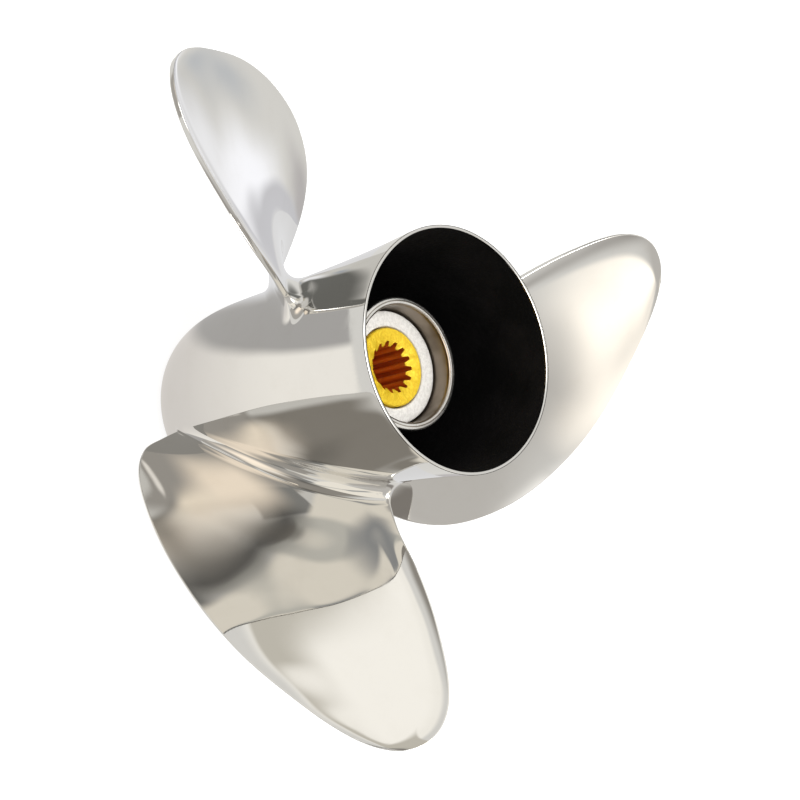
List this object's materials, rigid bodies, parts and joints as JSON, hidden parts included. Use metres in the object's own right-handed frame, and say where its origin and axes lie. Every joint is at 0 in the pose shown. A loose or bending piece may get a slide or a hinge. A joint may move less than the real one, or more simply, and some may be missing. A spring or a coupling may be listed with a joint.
{
  "type": "boat propeller",
  "caption": "Right-hand blade propeller in polished stainless steel, with an open flared exhaust barrel and a splined brass sleeve in a cushioned hub.",
  "frame": {"origin": "on the shaft axis at the propeller's balance point, 83 mm above the forward end of the barrel", "axes": "+Z along the shaft towards the tail; +X through the reference line of blade_1; right-hand screw"},
  "size_m": [0.3342, 0.3167, 0.178],
  "materials": {
    "polished_steel": "mirror-polished stainless steel",
    "machined_steel": "machined stainless steel",
    "sooted_steel": "cast skin, blackened inside the exhaust way",
    "pale_polymer": "matt, slightly grained",
    "brass": "machined, satin"
  },
  "bodies": {
    "root": {"barrel": "polished_steel", "blade_1": "polished_steel", "blade_2": "polished_steel", "blade_3": "polished_steel", "inner_hub": "machined_steel", "hub_rib_1": "sooted_steel", "hub_rib_2": "sooted_steel", "hub_rib_3": "sooted_steel", "hub_bushing": "pale_polymer", "splined_sleeve": "brass"}
  },
  "joints": []
}
